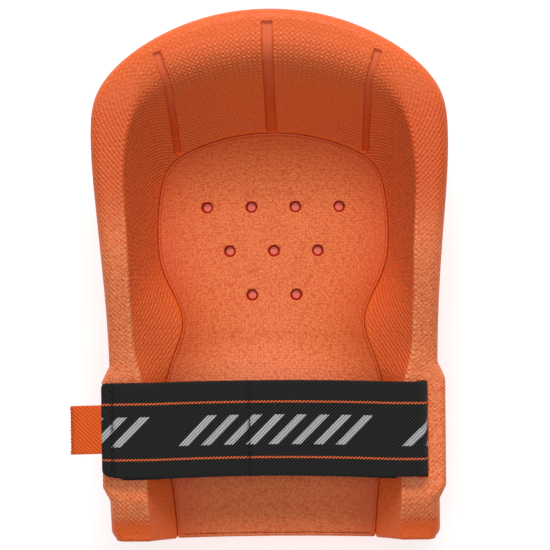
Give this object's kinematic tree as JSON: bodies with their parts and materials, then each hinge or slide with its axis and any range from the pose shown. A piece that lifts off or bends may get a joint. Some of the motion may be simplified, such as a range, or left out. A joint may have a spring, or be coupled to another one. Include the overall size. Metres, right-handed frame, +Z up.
{
  "type": "knee pad",
  "caption": "Moulded foam knee pad with a cupped cushion inlay, raised rims, and one elastic strap with a hook-and-loop closure and pull tab.",
  "frame": {"origin": "middle of the flat kneeling face that the pad lies on", "axes": "+Z up out of the leg space, +Y towards the high knee end, +X towards the slot that the flap comes out of"},
  "size_m": [0.1795, 0.252, 0.078],
  "materials": {
    "shell_foam": "moulded closed-cell foam with a fine diamond knurl",
    "cushion_foam": "soft foam with a leather-like grain",
    "elastic": "black twill elastic with two thin orange stripes",
    "fastener_tape": "hook and loop tape",
    "thread": "polyester thread",
    "tab_ribbon": "ribbed grosgrain ribbon"
  },
  "bodies": {
    "pad": {"shell": "shell_foam", "knee_cushion": "cushion_foam", "strap_band": "elastic"},
    "lower_run": {"strap_lower": "elastic", "loop_tape": "fastener_tape", "loop_stitches": "thread"},
    "flap": {"strap_flap": "elastic", "hook_tape": "fastener_tape", "end_stitches": "thread", "mid_stitches": "thread"},
    "tab": {"pull_tab": "tab_ribbon"}
  },
  "joints": [
    {"name": "flap_open", "type": "hinge", "parent": "pad", "child": "flap", "pos_m": [0.0705, -0.0742, 0.06], "axis": [0, 1, 0], "range_deg": [0, 150]},
    {"name": "lower_run_lift", "type": "hinge", "parent": "pad", "child": "lower_run", "pos_m": [-0.0705, -0.0742, 0.0559], "axis": [0, -1, 0], "range_deg": [0, 12]},
    {"name": "tab_lift", "type": "hinge", "parent": "flap", "child": "tab", "pos_m": [-0.0821, -0.0742, 0.0592], "axis": [0, 1, 0], "range_deg": [-60, 90], "stiffness_Nm_per_rad": 0.0005}
  ],
  "couplings": [
    {"joint": "lower_run_lift", "follows": "flap_open", "ratio": 0.08}
  ]
}
